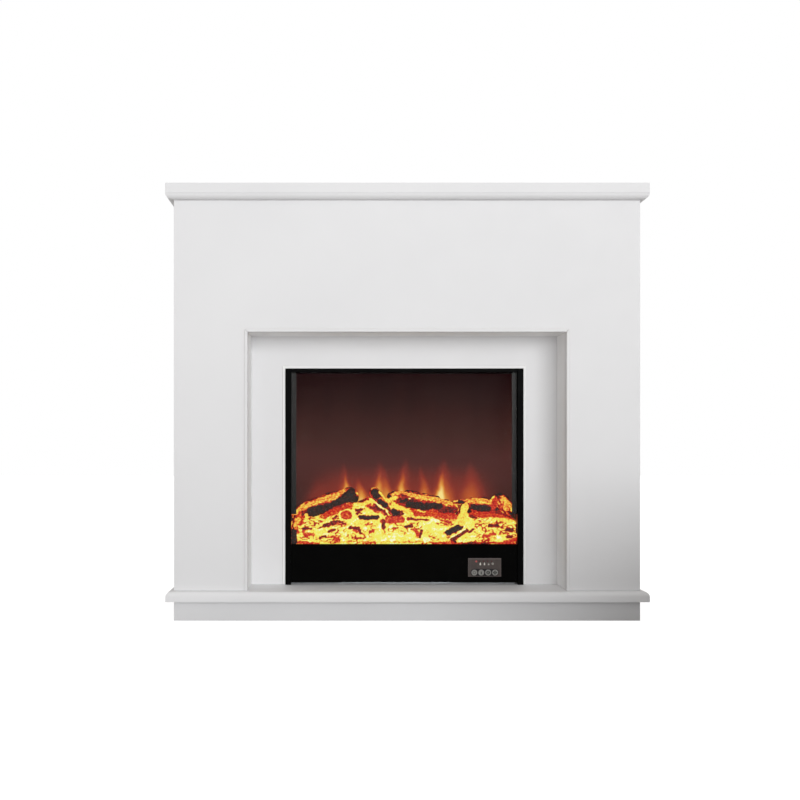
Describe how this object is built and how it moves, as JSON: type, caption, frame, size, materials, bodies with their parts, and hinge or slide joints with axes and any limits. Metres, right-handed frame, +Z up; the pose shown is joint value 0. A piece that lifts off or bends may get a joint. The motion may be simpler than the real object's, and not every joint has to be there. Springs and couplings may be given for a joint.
{
  "type": "electric fireplace",
  "caption": "White painted fire surround with mantel shelf, stepped recess and hearth, holding a black-framed electric fire with glowing logs, flame effect, fan heater and push buttons.",
  "frame": {"origin": "on the floor, under the middle of the outer box", "axes": "+X to the right seen from the front, +Y towards the wall, +Z up"},
  "size_m": [1.22, 0.33, 1.106],
  "materials": {
    "white_paint": "satin white paint on medium density board",
    "raw_board": "unpainted board",
    "black_frame": "satin black powder coat",
    "black_steel": "matt black powder coat",
    "zinc_steel": "zinc-coated sheet",
    "glass": "clear toughened",
    "grey_strip": "satin dark grey",
    "log_resin": "translucent painted resin, lit from below",
    "flame_screen": "smoked diffusing sheet, lit from behind",
    "reflector": "mirror foil on a steel rod",
    "panel_plastic": "dark smoked plastic",
    "button_plastic": "grey moulded caps",
    "lamp_plastic": "clear light guide",
    "circuit_board": "green solder mask",
    "motor_steel": "plated motor can",
    "heater_ceramic": "unglazed heating block",
    "nylon": "black nylon"
  },
  "bodies": {
    "fireplace": {"blower_motor": "motor_steel", "cable_gland": "nylon", "case_base": "zinc_steel", "case_left_side": "zinc_steel", "case_right_side": "zinc_steel", "case_top": "zinc_steel", "control_bezel": "panel_plastic", "control_board": "circuit_board", "ember_lamp_board": "circuit_board", "flame_baffle": "zinc_steel", "flame_lamp_board": "circuit_board", "flame_screen": "flame_screen", "frame_left_post": "black_frame", "frame_right_post": "black_frame", "frame_top_bar": "black_frame", "front_panel": "white_paint", "glass_pane": "glass", "glass_retainer_left": "grey_strip", "glass_retainer_right": "grey_strip", "hearth_slab": "white_paint", "heater_element": "heater_ceramic", "heater_housing": "zinc_steel", "inner_panel": "white_paint", "insert_trim": "white_paint", "left_side_panel": "white_paint", "light_guide": "lamp_plastic", "log_set": "log_resin", "log_shelf": "zinc_steel", "lower_fascia": "black_steel", "mantel_shelf": "white_paint", "opening_trim_left": "white_paint", "opening_trim_right": "white_paint", "opening_trim_top": "white_paint", "plinth_back": "white_paint", "plinth_front": "white_paint", "plinth_left": "white_paint", "plinth_right": "white_paint", "power_board": "circuit_board", "rear_cover": "zinc_steel", "rear_rail_bottom": "raw_board", "rear_rail_top": "raw_board", "recess_return_left": "white_paint", "recess_return_right": "white_paint", "recess_return_top": "white_paint", "right_side_panel": "white_paint", "shelf_cleat_left": "raw_board", "shelf_cleat_right": "raw_board", "shelf_moulding_front": "white_paint", "shelf_moulding_left": "white_paint", "shelf_moulding_right": "white_paint", "spindle_bearing": "nylon", "spindle_motor": "motor_steel", "thermal_cutout": "nylon"},
    "flame_rotor": {"flame_spindle": "reflector"},
    "blower_rotor": {"blower_wheel": "nylon"},
    "power_button_cap": {"power_button": "button_plastic"},
    "flame_button_cap": {"flame_button": "button_plastic"},
    "heat_button_cap": {"heat_button": "button_plastic"},
    "timer_button_cap": {"timer_button": "button_plastic"}
  },
  "joints": [
    {"name": "flame_spindle_turn", "type": "hinge", "parent": "fireplace", "child": "flame_rotor", "pos_m": [0, 0.1, 0.245], "axis": [1, 0, 0], "continuous": true},
    {"name": "blower_wheel_turn", "type": "hinge", "parent": "fireplace", "child": "blower_rotor", "pos_m": [-0.02, 0.078, 0.118], "axis": [1, 0, 0], "continuous": true},
    {"name": "power_button_press", "type": "slide", "parent": "fireplace", "child": "power_button_cap", "axis": [0, 1, 0], "range_m": [0, 0.0015], "stiffness_N_per_m": 600, "springref_m": -0.0005},
    {"name": "flame_button_press", "type": "slide", "parent": "fireplace", "child": "flame_button_cap", "axis": [0, 1, 0], "range_m": [0, 0.0015], "stiffness_N_per_m": 600, "springref_m": -0.0005},
    {"name": "heat_button_press", "type": "slide", "parent": "fireplace", "child": "heat_button_cap", "axis": [0, 1, 0], "range_m": [0, 0.0015], "stiffness_N_per_m": 600, "springref_m": -0.0005},
    {"name": "timer_button_press", "type": "slide", "parent": "fireplace", "child": "timer_button_cap", "axis": [0, 1, 0], "range_m": [0, 0.0015], "stiffness_N_per_m": 600, "springref_m": -0.0005}
  ]
}
